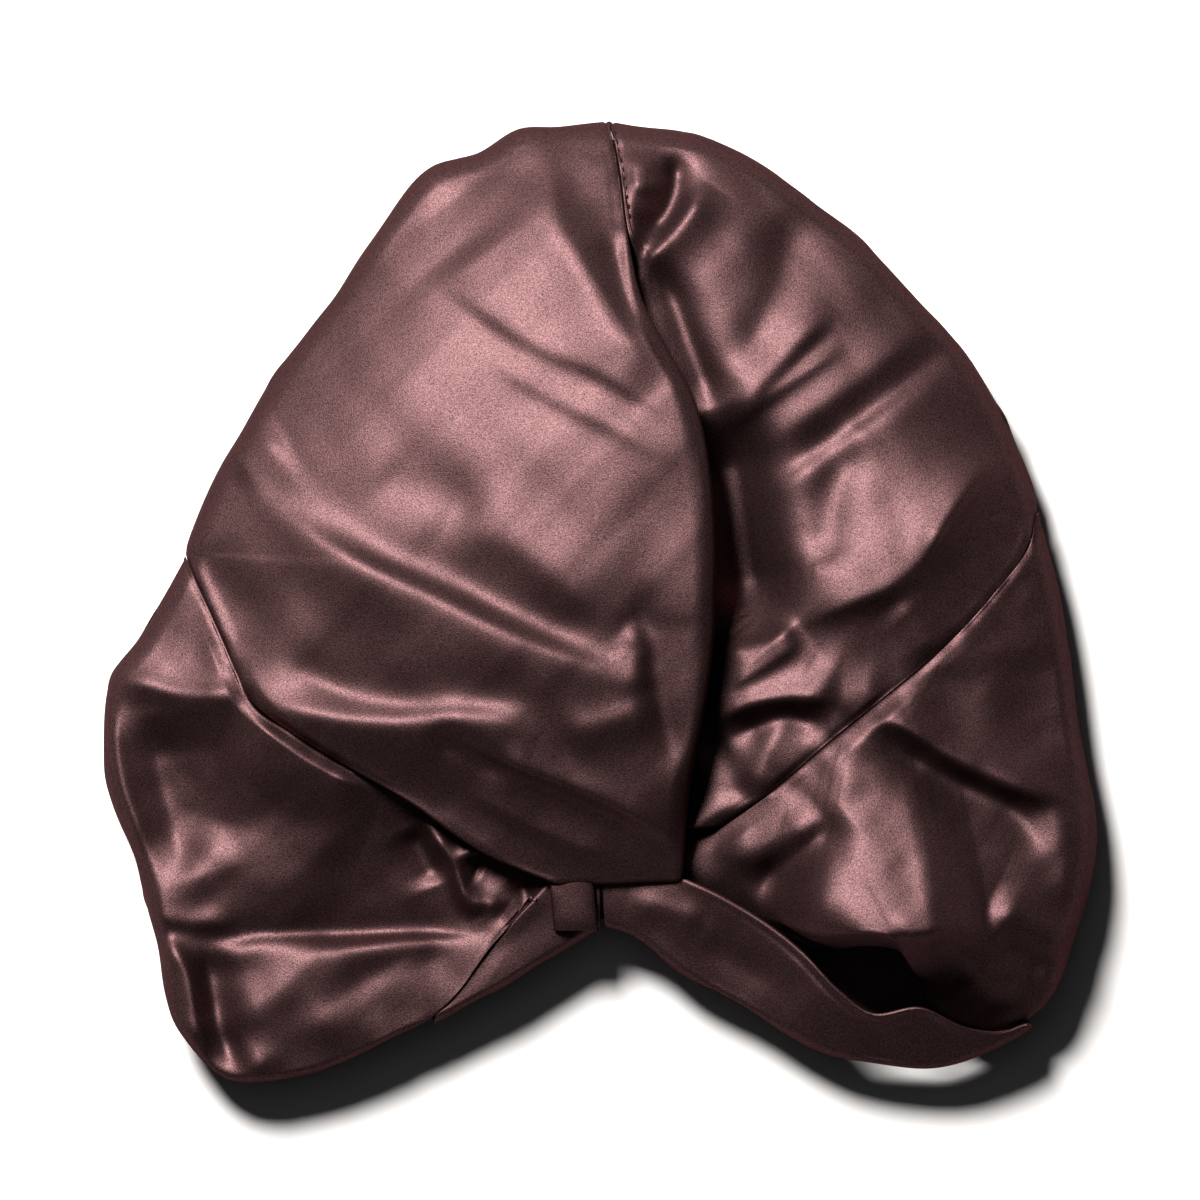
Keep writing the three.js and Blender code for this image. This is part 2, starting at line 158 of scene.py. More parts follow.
class Path:
    """A smooth path in the plane, with the nearest place on it for any point."""

    STEPS = 7

    def __init__(self, knots: Sequence[Point]) -> None:
        """Sample the path.

        Args:
            knots: Points that it passes through.
        """
        count = (len(knots) - 1) * self.STEPS
        self.points = spline(np.array(knots), np.linspace(0.0, 1.0, count + 1))
        self.steps = np.diff(self.points, axis=0)
        self.lengths = np.linalg.norm(self.steps, axis=1)
        self.start = np.concatenate([[0.0], np.cumsum(self.lengths)])

    @property
    def length(self) -> float:
        """Length of the whole path."""
        return float(self.start[-1])

    def nearest(self, points: Array) -> tuple[Array, Array, Array]:
        """Find the nearest place on the path.

        Args:
            points: Points as rows.

        Returns:
            Distance, length along the path, and a side that goes from 1 on the left to -1 on the right.
        """
        best = np.full(len(points), np.inf)
        along = np.zeros(len(points))
        side = np.zeros(len(points))
        for k, (a, step, length) in enumerate(zip(self.points, self.steps, self.lengths)):
            off = points - a
            f = np.clip(off @ step / max(length * length, TINY), 0.0, 1.0)
            gap = off - f[:, None] * step
            distance = np.linalg.norm(gap, axis=1)
            nearer = distance < best
            best[nearer] = distance[nearer]
            along[nearer] = self.start[k] + f[nearer] * length
            turn = (step[0] * gap[:, 1] - step[1] * gap[:, 0]) / max(length, TINY)
            side[nearer] = (turn / np.maximum(distance, TINY))[nearer]
        return best, along, side

    def at(self, length: float) -> tuple[Array, float]:
        """Find a place by its length along the path.

        Args:
            length: Length from the start.

        Returns:
            The point and the path's angle there.
        """
        k = int(np.clip(np.searchsorted(self.start, length) - 1, 0, len(self.steps) - 1))
        f = (length - self.start[k]) / max(self.lengths[k], TINY)
        return self.points[k] + f * self.steps[k], math.atan2(self.steps[k][1], self.steps[k][0])


@dataclass(frozen=True)
class Fold:
    """A fold in the cloth: a crest or, where height is negative, a valley.

    left and right are the reach of its two sides, looking along the path.
    """

    SLOPE = 1.25
    FADE_SHARE = 0.28
    FADE_LEAST = 5.0
    END_SHARE = 0.12

    path: tuple[Point, ...]
    height: float
    left: float
    right: float
    crest: float = 2.4

    def height_at(self, points: Array) -> Array:
        """Height that the fold adds.

        Args:
            points: Points as rows.

        Returns:
            The added height at each point.
        """
        path = Path(self.path)
        distance, along, side = path.nearest(points)
        reach = self.right + 0.5 * (1.0 + side) * (self.left - self.right)
        rounded = np.sqrt(distance * distance + self.crest * self.crest) - self.crest
        across = np.exp(-((rounded / reach) ** self.SLOPE))
        fade = max(self.FADE_SHARE * path.length, self.FADE_LEAST)
        ends = smooth(np.minimum(along, path.length - along), -self.END_SHARE * fade, fade)
        return self.height * ends * across


@dataclass(frozen=True)
class Pucker:
    """Small gathers along a seam, whose spacing wanders in waves of size, length and start."""

    WANDER = ((1.7, 17.0, 0.0), (1.1, 7.3, 1.0))
    GROOVE_DEPTH = 0.9
    GROOVE_WIDTH = 1.4

    path: tuple[Point, ...]
    period: float
    height: float
    reach: float

    def height_at(self, points: Array) -> Array:
        """Height that the gathers add.

        Args:
            points: Points as rows.

        Returns:
            The added height at each point.
        """
        distance, along, _ = Path(self.path).nearest(points)
        wander = sum(size * np.sin(along / length + start) for size, length, start in self.WANDER)
        wave = np.sin(2 * math.pi * along / self.period + wander)
        groove = -self.GROOVE_DEPTH * np.exp(-((distance / self.GROOVE_WIDTH) ** 2))
        return self.height * (0.5 + 0.5 * wave) * np.exp(-distance / self.reach) + groove


@dataclass(frozen=True)
class Ripple:
    """Gentle unevenness of cloth that lies loose: waves in many directions."""

    SPREAD = (0.6, 1.6)
    BEND = 0.8
    BEND_SHARE = 0.6
    LAST_START = 6.3

    seed: int
    length: float
    height: float
    waves: int = 14

    def height_at(self, points: Array) -> Array:
        """Height that the waves add.

        Args:
            points: Points as rows.

        Returns:
            The added height at each point.
        """
        rng = np.random.default_rng(self.seed)
        total = np.zeros(len(points))
        for _ in range(self.waves):
            angle = rng.uniform(0.0, 2 * math.pi)
            size = self.length * rng.uniform(*self.SPREAD)
            k = 2 * math.pi / size * np.array([math.cos(angle), math.sin(angle)])
            start = rng.uniform(0.0, self.LAST_START)
            bend = self.BEND * np.sin(points @ k[::-1] * self.BEND_SHARE + start)
            total += np.sin(points @ k + bend + rng.uniform(0.0, self.LAST_START))
        return self.height * total / math.sqrt(self.waves)


class Column(Enum):
    """Columns of a panel's table of sections."""

    IN_X = 0
    IN_Y = 1
    IN_LIFT = 2
    IN_ROLL = 3
    IN_TURN = 4
    OUT_X = 5
    OUT_Y = 6
    OUT_LIFT = 7
    OUT_ROLL = 8
    OUT_TURN = 9
    RIM = 10


Row = tuple[float, ...]
Rows = tuple[Row, ...]

# One row for each section. IN is the inner edge and OUT the outer edge. LIFT is above the shared form,
# ROLL the radius of a turned edge, TURN its angle, and RIM is 1 where the outer edge is the outline.
# SEWN gives lift, roll and turn of a sewn edge, SIDE and HEM those and RIM of the outline's two rims.
SEWN: Row = (0, 0.7, 70)
SIDE: Row = (0, 12, 90, 1)
HEM: Row = (0, 5, 90, 1)

CROWN_LEFT_ROWS: Rows = (
    (2.7, 143.4, *SEWN, 0.9, 145.0, *SIDE),
    (4.5, 136, *SEWN, -12, 144, *SIDE),
    (6, 127, *SEWN, -23, 143.5, *SIDE),
    (8, 111, 0, 0.9, 70, -38, 135, *SIDE),
    (10, 100, 2, 3, 80, -52, 131, *SIDE),
    (12.5, 90, 4, 4.5, 100, -65, 115.5, *SIDE),
    (20, 75, 6, 6, 110, -80, 93, *SIDE),
    (28, 60, 7, 7, 110, -97, 70.5, *SIDE),
    (32, 44, 8, 7, 110, -111, 48, *SIDE),
    (34, 26, 8, 7, 110, -119, 33, *SIDE),
    (34.5, 8, 8, 7, 110, -125.7, 14.8, 0, 0.7, 80, 1),
    (34.3, 2, 8, 7, 110, -125.3, 13.6, *SEWN, 0),
    (34, -10, 8, 7, 110, -113.5, -11, *SEWN, 0),
    (32, -28, 9, 7, 110, -105, -29.7, *SEWN, 0),
    (29, -44, 8.5, 6, 110, -92, -40, 0.3, 0.7, 70, 0),
    (27, -56, 7.5, 6, 110, -75.6, -49.8, 0.8, 1.2, 70, 0),
    (26, -66, 5.5, 5, 110, -58, -60, 2, 1.6, 80, 0),
    (25.5, -75, 4, 4, 110, -36, -75.5, 3.5, 2, 90, 0),
    (25, -85, 2.5, 3, 90, -12, -86, 3, 2, 90, 0),
)

CROWN_RIGHT_ROWS: Rows = (
    (2.75, 143.4, *SEWN, 4.8, 144.9, *SIDE),
    (4.6, 136, *SEWN, 15, 143.5, *SIDE),
    (6.1, 127, *SEWN, 25, 142, *SIDE),
    (8.2, 111, -1, 0.7, 70, 38, 138, *SIDE),
    (11, 100, -9, 1.2, 40, 52, 130.5, *SIDE),
    (9.5, 90, -13, 1.2, 40, 66, 120, *SIDE),
    (14, 75, -15, 1.2, 40, 81, 108, *SIDE),
    (22, 60, -16, 1.2, 40, 97, 91, *SIDE),
    (26, 44, -16, 1.2, 40, 109.5, 77, *SIDE),
    (27, 28, -16, 1.2, 40, 121, 58, *SIDE),
    (27, 14, -16, 1.2, 40, 128, 42, *SIDE),
    (27, 0, -16, 1.2, 40, 132.4, 28.8, 0, 0.7, 80, 1),
    (27, -4, -16, 1.2, 40, 132.2, 27.8, *SEWN, 0),
    (27, -12, -16, 1.2, 40, 129, 16, *SEWN, 0),
    (27, -24, -15, 1.2, 40, 115, -2, *SEWN, 0),
    (27, -35, -14, 1.2, 40, 100, -17, *SEWN, 0),
    (27, -46, -13, 1.2, 40, 84, -30, *SEWN, 0),
    (26, -55, -13, 1.2, 40, 68, -43, -1, 0.7, 70, 0),
    (23, -62, -13, 1.2, 40, 52, -57, -3, 0.7, 70, 0),
    (20, -69, -9, 1.2, 40, 36, -68.5, -7, 0.7, 70, 0),
)

BAND_LEFT_ROWS: Rows = (
    (-124.6, 12.2, *SEWN, -126.2, 12.4, *SIDE),
    (-113.5, -11, *SEWN, -140, -12, *SIDE),
    (-108.5, -22, *SEWN, -148, -22.5, *SIDE),
    (-105, -29.7, *SEWN, -149.6, -29, *SIDE),
    (-92, -40, -0.5, 0.7, 70, -150.5, -52, *SIDE),
    (-75.6, -49.8, -2, 0.7, 70, -141, -79.5, *SIDE),
    (-57, -57, -6, 0.7, 70, -135, -102, *SIDE),
    (-46, -62, -9, 0.7, 70, -127.5, -130, 0, 8, 90, 1),
    (-38, -67, -10, 0.7, 70, -112, -145, *HEM),
    (-31, -71, -10, 0.7, 70, -90, -143.7, *HEM),
    (-25, -75, -9, 0.7, 70, -67, -135, 0, 2, 90, 1),
    (-20, -77, -8, 0.7, 70, -47, -123, 0.5, 2, 80, 0),
    (-15, -79, -7, 0.7, 70, -33, -105, 0.5, 2, 80, 0),
    (-11, -80, -7, 0.7, 70, -21, -91, 0, 2, 80, 0),
)

BAND_RIGHT_ROWS: Rows = (
    (131.8, 26.4, *SEWN, 133.2, 26.2, *SIDE),
    (129, 16, *SEWN, 138, 9, *SIDE),
    (119, 3.1, *SEWN, 142, -12, *SIDE),
    (108, -9, *SEWN, 145.5, -38, *SIDE),
    (96, -20.3, *SEWN, 150, -62, *SIDE),
    (84, -30, *SEWN, 150, -80, *SIDE),
    (78, -34.9, -0.4, 0.7, 70, 144, -102, *SIDE),
    (74, -38.2, -0.6, 0.7, 70, 135, -122, 0, 3, 90, 1),
    (71.5, -40.2, -0.8, 0.7, 70, 119, -131, -8, 3, 60, 0),
    (68.5, -42.6, -0.9, 0.7, 70, 106, -127, -8, 3, 60, 0),
    (63, -47.4, -1.5, 0.7, 70, 95, -114, -6, 3, 90, 0),
    (58, -51.8, -2.2, 0.7, 70, 89, -105, -3, 3, 110, 0),
    (53, -56.1, -2.9, 0.7, 70, 79, -103.5, -2, 3, 110, 0),
    (47, -60.6, -4.2, 0.7, 70, 68, -105, -5, 3, 90, 0),
    (40, -65.6, -6, 0.7, 70, 58, -102, -9, 3, 60, 0),
    (32, -70.5, -9, 0.7, 70, 48, -98, -11, 3, 60, 0),
    (20, -73, -13, 0.7, 70, 24, -90, -13, 3, 60, 0),
)

HEM_RIGHT_ROWS: Rows = (
    (0.2, -80, -3.5, 1.2, 120, 1.5, -99.3, *HEM),
    (14, -80, -3.0, 1.2, 120, 10, -102.5, *HEM),
    (29, -85, 0.5, 1.2, 120, 24, -113, *HEM),
    (45, -93.5, 1.5, 1.2, 120, 41, -122, *HEM),
    (60, -104.5, 1, 1.2, 120, 57, -132, *HEM),
    (72, -117, 0, 1.2, 120, 70, -138, *HEM),
    (82, -123.8, 0, 1.2, 120, 86, -141, *HEM),
    (96, -122, 0, 1.2, 120, 102, -141.5, *HEM),
    (110, -128.3, 0, 1.2, 120, 117, -137, *HEM),
    (121, -130, 0, 1.2, 120, 127, -132, *HEM),
    (127.6, -127.6, -1, 1.2, 120, 130.8, -129.0, *HEM),
)

HEM_LEFT_ROWS: Rows = (
    (-49, -124, -0.5, 0.7, 70, -50, -128, *HEM),
    (-46, -122, -0.5, 0.7, 70, -37.5, -121.5, *HEM),
    (-33, -105, -0.5, 0.7, 70, -26, -115.5, *HEM),
    (-21, -91, -0.5, 0.7, 70, -14, -108, *HEM),
    (-9, -80, -3.5, 0.7, 70, -6, -103, *HEM),
    (0.2, -79, -3.5, 0.7, 70, 0.2, -99.4, *HEM),
)

CENTRE_SEAM: tuple[Point, ...] = ((2.9, 145), (4.9, 136), (6.4, 127), (8.4, 111))
CENTRE_STITCHES: tuple[Point, ...] = ((4.3, 142), (6.0, 134), (7.5, 126), (9.6, 111))
LEFT_SEAM: tuple[Point, ...] = ((-126, 15), (-113.5, -11), (-105, -29.7), (-92, -40), (-75.6, -49.8))
RIGHT_SEAM: tuple[Point, ...] = (
    (132, 28), (129, 16), (115, -2), (100, -17), (84, -30), (68, -43), (52, -57))

CROWN_LEFT_FOLDS: tuple[Fold, ...] = (
    Fold(((-18, 141), (-14, 115), (-7, 102), (0, 91), (5, 82), (10, 72), (17, 62)), 4.5, 6, 10, 2.4),
    Fold(((1, 112), (4, 102), (7, 90), (12, 77)), -2.5, 4, 5, 2.0),
    Fold(((-55, 99), (-45, 94), (-30, 83), (-15, 74), (0, 68), (15, 59), (26, 51)), 1.1, 7, 2.5, 1.2),
    Fold(((-53, 94), (-30, 79), (-3, 65), (22, 50)), -0.5, 3, 6, 1.6),
    Fold(((-38, 77), (-25, 67), (-10, 58), (5, 51), (18, 44), (27, 39)), 1.1, 7, 2.5, 1.2),
    Fold(((-30, 67), (-10, 55), (10, 46)), -0.5, 3, 6, 1.6),
    Fold(((-68, 37), (-50, 32), (-34, 26)), -1.6, 10, 7, 3.0),
    Fold(((-45, 26), (-25, 17), (-12, 8), (0, -3), (6, -10)), 2.6, 14, 7, 3.0),
    Fold(((-88, 24), (-70, 16), (-50, 8), (-30, -1), (-10, -11), (6, -17)), -2.6, 9, 4, 2.4),
    Fold(((-112, 35), (-98, 26), (-75, 12), (-50, 0), (-25, -12), (0, -22), (18, -33)),
         5.8, 4.5, 17, 1.8),
    Fold(((6, -9), (12, -13), (11, -21), (13, -28)), 2.4, 3, 4, 1.6),
    Fold(((13, 7), (14, -12), (18, -28), (22, -45), (25, -54)), -2.6, 5, 4, 1.8),
    Fold(((-98, -13), (-82, -24), (-61, -30), (-40, -30), (-15, -28)), -4.6, 13, 5, 2.2),
    Fold(((-111, -22), (-98, -31), (-88, -34), (-75, -36), (-60, -36.5), (-45, -35),
          (-33, -36), (-18, -42)), 5.0, 5, 10, 1.6),
    Fold(((-12, -41), (5, -36), (18, -33)), 3.0, 5, 7, 2.0),
    Fold(((-42, -42), (-22, -50), (0, -59), (15, -67), (26, -73)), 5.0, 8, 2.0, 1.0),
    Fold(((-52, -40), (-40, -45), (-25, -52)), -3.0, 3, 4, 1.2),
    Fold(((-39, -57), (-18, -69), (6, -79)), 2.0, 6, 1.6, 0.8),
    Fold(((-112, 38), (-104, 44), (-95, 50)), 3.0, 6, 8, 2.0),
    Fold(((-120, 18), (-110, 2), (-97, -10)), -1.6, 9, 7),
    Fold(((-51, 123), (-36, 102)), -2.0, 12, 12, 4.0),
)

CROWN_RIGHT_FOLDS: tuple[Fold, ...] = (
    Fold(((34, 58), (40, 38), (43, 18), (47, 2), (56, -9)), -17.0, 8, 12, 4.0),
    Fold(((23, 136), (22, 122), (18, 114), (10, 109.5)), -7.0, 4, 4, 1.5),
    Fold(((9, 102.5), (15, 102), (20.5, 108), (26, 115), (33, 125)), 5.0, 2.2, 6, 0.9),
    Fold(((12, 135), (13, 120)), 2.5, 5, 4),
    Fold(((13, 101), (21, 92), (26, 79), (33, 61), (36, 53)), -5.0, 4, 5, 1.6),
    Fold(((58, 120), (57, 105), (53, 92), (47, 78), (42, 66)), -3.2, 9, 6, 2.6),
    Fold(((37, 52), (45, 61), (52, 68), (60, 77), (70, 88)), 2.4, 7, 3, 1.4),
    Fold(((44, 55), (56, 68), (72, 84)), -1.5, 2.5, 4, 1.0),
    Fold(((38, 51), (48, 59), (58, 66), (74, 77)), 1.6, 2.5, 1.6, 0.7),
    Fold(((45, 43), (57, 52), (70, 61), (85, 72), (103, 86)), 2.0, 7, 3.5, 1.6),
    Fold(((46, 33), (62, 44), (75, 53), (88, 62), (100, 72), (110, 80)), -2.2, 5, 3, 1.4),
    Fold(((48, 28), (70, 43), (88, 57), (106, 71)), 2.0, 3, 9, 1.6),
    Fold(((78, 50), (70, 35), (68, 20), (66, 8)), -4.0, 5, 7, 3.0),
    Fold(((95, 10), (104, 26), (114, 38), (122, 45)), 4.0, 6, 3, 1.2),
    Fold(((57, -8), (66, -4), (76, 0), (86, 4), (95, 11), (102, 20), (110, 30), (118, 37), (126, 39)),
         5.0, 12, 3.5, 1.0),
    Fold(((88, 0), (96, -9), (101, -17)), 2.4, 5, 5, 2.0),
    Fold(((35, -17), (50, -13), (60, -7)), 4.0, 3, 8, 1.0),
    Fold(((36, -27), (48, -20), (60, -12)), 2.0, 6, 2, 0.9),
    Fold(((31, -37), (45, -31), (58, -29), (72, -30)), 6.0, 8, 2.5, 0.9),
    Fold(((38, -42), (55, -36), (70, -38)), -4.0, 3, 5, 1.5),
    Fold(((45, -60), (50, -44), (58, -32)), 2.8, 5, 4, 1.4),
    Fold(((31, -38), (40, -52), (42, -64)), -3.0, 5, 5, 2.0),
    Fold(((62, -22), (74, -28), (86, -30)), 2.4, 7, 6, 2.5),
)

BAND_LEFT_FOLDS: tuple[Fold, ...] = (
    Fold(((-149, -24), (-138, -25), (-130, -27.5), (-122, -29), (-112, -28), (-106, -24)),
         4.5, 4.5, 5, 1.2),
    Fold(((-148, -28), (-146, -45), (-143, -58), (-140, -68), (-137, -82)), 2.6, 3, 4, 1.2),
    Fold(((-134, -34), (-132, -50), (-128, -66), (-123, -84)), -6.0, 16, 6, 2.4),
    Fold(((-134, -66), (-110, -63), (-90, -63), (-68, -62)), -0.8, 6, 6, 2.4),
    Fold(((-112, -40), (-96, -46), (-80, -50), (-64, -56)), 5.0, 16, 22, 5.0),
    Fold(((-115, -66), (-119, -78), (-124, -86), (-134, -90), (-141, -90)), 2.6, 6, 8, 2.0),
    Fold(((-140, -94), (-131, -96), (-122, -97), (-108, -97)), 2.6, 5, 2.5, 1.0),
    Fold(((-128, -102), (-112, -102), (-100, -100.5), (-75, -100.5), (-55, -100), (-32, -100)),
         -4.6, 9, 2, 0.8),
    Fold(((-90, -107), (-72, -105), (-58, -103), (-40, -103)), 3.5, 2.5, 9, 1.2),
    Fold(((-135, -100), (-128, -106), (-124, -113), (-122.5, -120), (-121, -130), (-119, -140)),
         6.0, 2.5, 7, 1.0),
    Fold(((-118, -102), (-117, -118), (-114, -130), (-108, -143)), -6.0, 8, 3, 2.0),
    Fold(((-116, -122), (-107, -135), (-98, -145)), 2.4, 5, 4, 1.6),
    Fold(((-114, -127), (-100, -121), (-90, -112), (-80, -102)), 4.0, 6, 10, 2.0),
    Fold(((-53, -66), (-48, -73), (-44, -79), (-42, -85), (-40, -91), (-37, -96)), 6.0, 3, 2.2, 0.8),
    Fold(((-57, -68), (-53, -77), (-49, -86)), -4.0, 3, 5, 1.5),
    Fold(((-44, -78.5), (-38, -75.5), (-33, -76), (-29, -78), (-26, -82)), 5.0, 3, 2, 0.8),
    Fold(((-39, -80), (-35, -82)), -4.5, 3, 3, 1.5),
    Fold(((-41, -92), (-34, -91), (-29, -94)), 3.0, 3, 3, 1.2),
    Fold(((-25, -82), (-22, -92), (-28, -100)), -4.0, 3, 3, 1.2),
    Fold(((-92, -134), (-72, -120), (-48, -106)), 3.0, 6, 9, 2.0),
    Fold(((-84, -126), (-64, -112), (-40, -104)), -3.0, 6, 6, 2.0),
)

BAND_RIGHT_FOLDS: tuple[Fold, ...] = (
    Fold(((76, -36), (84, -36), (92, -38), (104, -46), (115, -52), (125, -56), (135, -58), (144, -58)),
         7.0, 10, 3, 1.2),
    Fold(((80, -40), (92, -47), (102, -53), (112, -57), (122, -62), (128, -69), (131, -78)),
         -5.0, 4, 8, 1.8),
    Fold(((48, -91), (70, -96), (90, -97.5), (116, -93)), 16.0, 30, 7, 4.0),
    Fold(((34, -74), (46, -76), (56, -71), (66, -63)), 4.0, 7, 4, 2.0),
    Fold(((44, -88), (54, -81), (63, -74), (74, -64)), -5.0, 4, 6, 2.0),
    Fold(((66, -103), (80, -102), (93, -100.5), (103, -99.5), (112, -99.5), (118, -102), (122, -107)),
         3.0, 5, 2.2, 1.2),
    Fold(((97, -103), (104, -109), (112, -118)), -2.4, 4, 4, 1.6),
    Fold(((102, -104), (114, -110), (126, -121)), 3.4, 7, 5, 2.0),
    Fold(((116, -91), (128, -97), (142, -107)), 5.0, 9, 5, 2.0),
    Fold(((118, -101), (126, -105), (135, -113)), -2.4, 4, 4, 1.6),
    Fold(((136, -58), (140, -75), (141, -94)), 2.0, 6, 4, 2.5),
    Fold(((104, -18), (107, -32), (110, -46)), -1.2, 7, 7, 3.0),
    Fold(((128, -14), (129, -32), (131, -50)), -1.6, 7, 7, 3.0),
)

HEM_RIGHT_FOLDS: tuple[Fold, ...] = (
    Fold(((30, -103), (48, -112), (62, -122)), -1.5, 6, 6),
    Fold(((78, -128), (94, -133), (110, -133)), -1.5, 6, 6),
    Fold(((8, -90), (20, -93), (32, -97)), 2.0, 4, 5, 1.5),
    Fold(((26, -86), (44, -95.5), (58.5, -106.5), (70.5, -119), (82, -126.2),
          (96, -124.4), (110, -130.8)), -0.9, 0.7, 0.7, 0.4),
)

# Broad folds that run across the seams, in the form that all pieces share.
SHARED_FOLDS: tuple[Fold, ...] = (
    Fold(((50, -12), (66, -4), (86, 5), (102, 20), (118, 36), (132, 44)), 9.0, 26, 26, 5.0),
    Fold(((-122, -27), (-110, -28), (-98, -31), (-75, -35), (-45, -35), (-10, -40)), 9.0, 20, 40, 4.0),
    Fold(((60, -104), (85, -102), (118, -96)), 9.0, 28, 9, 4.0),
)


class SectionTable:
    """A panel's sections, joined smoothly in proportion to how far apart they lie."""

    LEAST_GAP = 0.2

    def __init__(self, rows: Sequence[Row]) -> None:
        """Place the rows along the panel.

        Args:
            rows: The panel's table.
        """
        self.rows = np.array(rows, dtype=float)
        apart = np.diff(self.rows, axis=0)
        inner = np.linalg.norm(apart[:, [Column.IN_X.value, Column.IN_Y.value]], axis=1)
        outer = np.linalg.norm(apart[:, [Column.OUT_X.value, Column.OUT_Y.value]], axis=1)
        self.gaps = 0.5 * (inner + outer) + self.LEAST_GAP
        self.knots = np.concatenate([[0.0], np.cumsum(self.gaps)])
        slope = apart / self.gaps[:, None]
        before, after = self.gaps[:-1, None], self.gaps[1:, None]
        inside = (slope[:-1] * after + slope[1:] * before) / (before + after)
        self.tangents = np.concatenate([slope[:1], inside, slope[-1:]])

    @property
    def length(self) -> float:
        """Length of the panel along its sections."""
        return float(self.knots[-1])

    def at(self, place: Array) -> Array:
        """Work out sections.

        Args:
            place: Lengths along the panel.

        Returns:
            One row of columns for each place.
        """
        k = np.clip(np.searchsorted(self.knots, place, side="right") - 1, 0, len(self.gaps) - 1)
        gap = self.gaps[k][:, None]
        f = (place - self.knots[k])[:, None] / gap
        a, b = self.rows[k], self.rows[k + 1]
        out, into = self.tangents[k] * gap, self.tangents[k + 1] * gap
        return a + f * (out + f * (3 * (b - a) - 2 * out - into + f * (2 * (a - b) + out + into)))

    def rim_stretch(self, step: float) -> Array:
        """Sample the outer edge where it lies on the outline.

        Args:
            step: Spacing of the samples.

        Returns:
            Points as rows, in the table's order.
        """
        on_rim = np.nonzero(self.rows[:, Column.RIM.value] == 1)[0]
        low, high = self.knots[on_rim[0]], self.knots[on_rim[-1]]
        place = np.linspace(low, high, max(int((high - low) / step), 2))
        return self.at(place)[:, [Column.OUT_X.value, Column.OUT_Y.value]]


class Outline:
    """The bonnet's outline seen from above, counter-clockwise from the crown's top."""

    STEP = 2.0
    BLEND = 8
    LOBE_TURN_Y = -112.0
    LEAST_SQUARE = 1.0

    def __init__(self) -> None:
        """Join the outer edges of the panels that lie on the outline."""
        self.counts: list[int] = []
        points: list[Array] = []
        mouth: list[Array] = []
        for rows, opens, backwards in (
            (CROWN_LEFT_ROWS, False, False),
            (BAND_LEFT_ROWS, False, False),
            (HEM_LEFT_ROWS, True, False),
            (HEM_RIGHT_ROWS, True, False),
            (BAND_RIGHT_ROWS, False, True),
            (CROWN_RIGHT_ROWS, False, True),
        ):
            stretch = SectionTable(rows).rim_stretch(self.STEP)
            stretch = stretch[::-1] if backwards else stretch
            points.append(stretch)
            mouth.append(np.where(opens | (stretch[:, 1] < self.LOBE_TURN_Y), 1.0, 0.0))
            self.counts.append(len(stretch))
        self.points = np.concatenate(points)
        self.mouth = np.concatenate(mouth)
        for _ in range(self.BLEND):
            self.mouth = (np.roll(self.mouth, 1) + self.mouth + np.roll(self.mouth, -1)) / 3
        self.steps = np.roll(self.points, -1, axis=0) - self.points
        self.lengths = np.linalg.norm(self.steps, axis=1)

    def nearest(self, points: Array) -> tuple[Array, Array, Array]:
        """Find the nearest place on the outline.

        Args:
            points: Points as rows.

        Returns:
            Distance, share of head opening (0 to 1), and the direction inwards.
        """
        best = np.full(len(points), np.inf)
        mouth = np.zeros(len(points))
        inward = np.zeros((len(points), 2))
        following = np.roll(self.mouth, -1)
        for k, (a, step, length) in enumerate(zip(self.points, self.steps, self.lengths)):
            if length < SMALL:
                continue
            off = points - a
            f = np.clip(off @ step / length**2, 0.0, 1.0)
            distance = np.linalg.norm(off - f[:, None] * step, axis=1)
            nearer = distance < best
            best[nearer] = distance[nearer]
            mouth[nearer] = (self.mouth[k] + f * (following[k] - self.mouth[k]))[nearer]
            inward[nearer] = np.array([-step[1], step[0]]) / length
        return best, mouth, inward

    def soft_distance(self, points: Array) -> Array:
        """Distance from the outline without the creases that a nearest point has.

        Args:
            points: Points as rows.

        Returns:
            A smooth distance that is exact beside a long straight edge.
        """
        middle = self.points + 0.5 * self.steps
        total = np.zeros(len(points))
        for place, length in zip(middle, self.lengths):
            off = points - place
            total += length / np.maximum((off * off).sum(axis=1), self.LEAST_SQUARE) ** 2
        return (total / (0.5 * math.pi)) ** (-1.0 / 3.0)


class SharedForm:
    """Height of the pillow form that all front pieces share."""

    def __init__(self, outline: Outline) -> None:
        """Keep the outline that the form rises from.

        Args:
            outline: The bonnet's outline.
        """
        self.outline = outline

    @staticmethod
    def rim(mouth: Array) -> tuple[Array, Array]:
        """Radius and foot height of the turned rim.

        Args:
            mouth: Share of head opening.

        Returns:
            The rim's radius and the height of its underside.
        """
        radius = SIZES.side_rim + mouth * (SIZES.hem_rim - SIZES.side_rim)
        return radius, mouth * SIZES.hem_foot

    def height_at(self, points: Array) -> Array:
        """Height of the form.

        Args:
            points: Points as rows.

        Returns:
            The height at each point.
        """
        distance, mouth, _ = self.outline.nearest(points)
        radius, foot = self.rim(mouth)
        inside = self.outline.soft_distance(points)
        ramp = smooth(-points[:, 1], *PILLOW.lobe_y) * smooth(-points[:, 0], *PILLOW.ramp_x)
        rise = 1.0 - np.exp(-PILLOW.steepness * inside / (SIZES.shelf_reach + PILLOW.ramp * ramp))
        away = np.linalg.norm(points - np.array([PILLOW.x, PILLOW.y]), axis=1)
        dome = PILLOW.low + PILLOW.rise * np.exp(-((away / PILLOW.spread) ** PILLOW.flatness))
        right = smooth(points[:, 0], *PILLOW.lobe_x) * PILLOW.right_lobe
        lobe = smooth(-points[:, 1], *PILLOW.lobe_y) * right
        drop = edge_drop(distance, radius, SIZES.rim_tightness)
        folds = sum(fold.height_at(points) for fold in SHARED_FOLDS)
        return foot + 2 * radius - drop + rise * (dome + lobe + folds)


